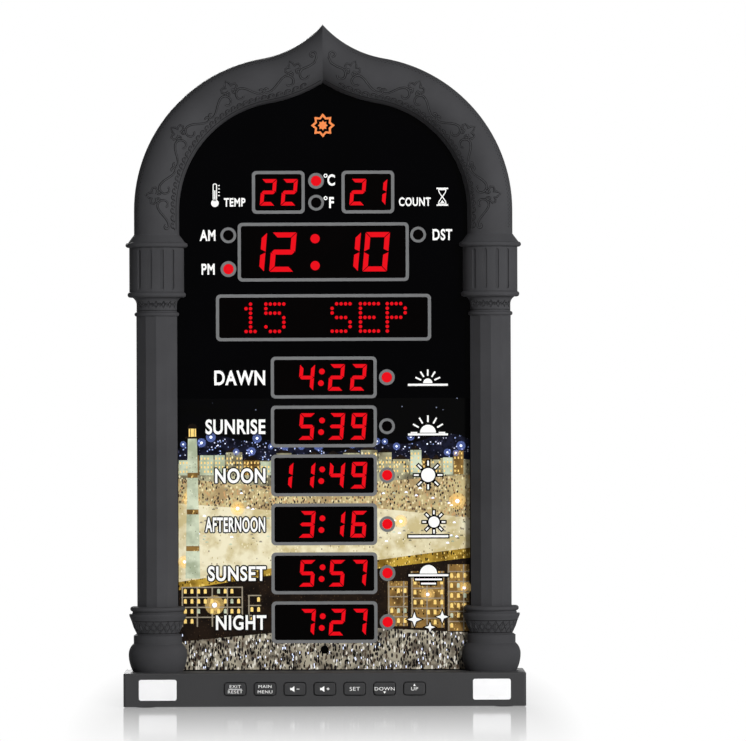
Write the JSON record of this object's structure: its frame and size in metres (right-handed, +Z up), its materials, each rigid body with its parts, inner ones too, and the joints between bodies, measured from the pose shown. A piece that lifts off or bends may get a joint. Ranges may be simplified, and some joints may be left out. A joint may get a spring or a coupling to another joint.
{
  "type": "azan clock",
  "caption": "Upright electronic prayer-time clock: an ogee arch on fluted columns frames a black display panel, on a base with push buttons and a wall-hanging back.",
  "frame": {"origin": "below the middle of the base, on the plane that the rubber feet stand on", "axes": "+X to the right as seen from the front, +Y from the front to the back, +Z up"},
  "size_m": [0.24, 0.045, 0.4082],
  "materials": {
    "frame_plastic": "satin charcoal, finely embossed on the arch",
    "base_plastic": "satin charcoal",
    "panel_black": "polished black acrylic with printed windows and picture",
    "plate_white": "smooth blank white",
    "button_plastic": "satin with pale legends",
    "switch_plastic": "moulded",
    "board_laminate": "green solder mask",
    "display_red": "red lamps in black cases",
    "speaker_steel": "pressed and plated",
    "speaker_magnet": "dark ferrite",
    "speaker_paper": "black pressed paper",
    "lead_jacket": "flexible insulation",
    "screw_steel": "zinc plated",
    "foot_rubber": "matt"
  },
  "bodies": {
    "clock": {"arch_frame": "frame_plastic", "capital_left": "frame_plastic", "capital_right": "frame_plastic", "column_shaft_left": "frame_plastic", "column_shaft_right": "frame_plastic", "pedestal_left": "frame_plastic", "pedestal_right": "frame_plastic", "base_housing": "base_plastic", "base_bottom_cover": "base_plastic", "back_cover": "base_plastic", "display_panel": "panel_black", "name_plate_left": "plate_white", "name_plate_right": "plate_white", "tact_switches": "switch_plastic", "dc_jack": "switch_plastic", "coin_cell_holder": "switch_plastic", "ir_receiver": "switch_plastic", "control_chips": "switch_plastic", "thermistor": "switch_plastic", "key_board": "board_laminate", "main_board": "board_laminate", "time_display": "display_red", "temperature_display": "display_red", "countdown_display": "display_red", "date_display": "display_red", "dawn_display": "display_red", "sunrise_display": "display_red", "noon_display": "display_red", "afternoon_display": "display_red", "sunset_display": "display_red", "night_display": "display_red", "indicator_leds": "display_red", "speaker_basket": "speaker_steel", "coin_cell": "speaker_steel", "speaker_magnet": "speaker_magnet", "speaker_cone": "speaker_paper", "ribbon_cable": "lead_jacket", "speaker_leads": "lead_jacket", "power_leads": "lead_jacket", "back_cover_screws": "screw_steel", "board_screws": "screw_steel", "base_screws": "screw_steel", "column_screws": "screw_steel", "rubber_feet": "foot_rubber"},
    "exit_button": {"button_exit": "button_plastic", "switch_plunger_exit": "switch_plastic"},
    "menu_button": {"button_menu": "button_plastic", "switch_plunger_menu": "switch_plastic"},
    "volume_down_button": {"button_volume_down": "button_plastic", "switch_plunger_volume_down": "switch_plastic"},
    "volume_up_button": {"button_volume_up": "button_plastic", "switch_plunger_volume_up": "switch_plastic"},
    "set_button": {"button_set": "button_plastic", "switch_plunger_set": "switch_plastic"},
    "down_button": {"button_down": "button_plastic", "switch_plunger_down": "switch_plastic"},
    "up_button": {"button_up": "button_plastic", "switch_plunger_up": "switch_plastic"}
  },
  "joints": [
    {"name": "exit_press", "type": "slide", "parent": "clock", "child": "exit_button", "axis": [0, 1, 0], "range_m": [0, 0.0008], "stiffness_N_per_m": 500},
    {"name": "menu_press", "type": "slide", "parent": "clock", "child": "menu_button", "axis": [0, 1, 0], "range_m": [0, 0.0008], "stiffness_N_per_m": 500},
    {"name": "volume_down_press", "type": "slide", "parent": "clock", "child": "volume_down_button", "axis": [0, 1, 0], "range_m": [0, 0.0008], "stiffness_N_per_m": 500},
    {"name": "volume_up_press", "type": "slide", "parent": "clock", "child": "volume_up_button", "axis": [0, 1, 0], "range_m": [0, 0.0008], "stiffness_N_per_m": 500},
    {"name": "set_press", "type": "slide", "parent": "clock", "child": "set_button", "axis": [0, 1, 0], "range_m": [0, 0.0008], "stiffness_N_per_m": 500},
    {"name": "down_press", "type": "slide", "parent": "clock", "child": "down_button", "axis": [0, 1, 0], "range_m": [0, 0.0008], "stiffness_N_per_m": 500},
    {"name": "up_press", "type": "slide", "parent": "clock", "child": "up_button", "axis": [0, 1, 0], "range_m": [0, 0.0008], "stiffness_N_per_m": 500}
  ]
}
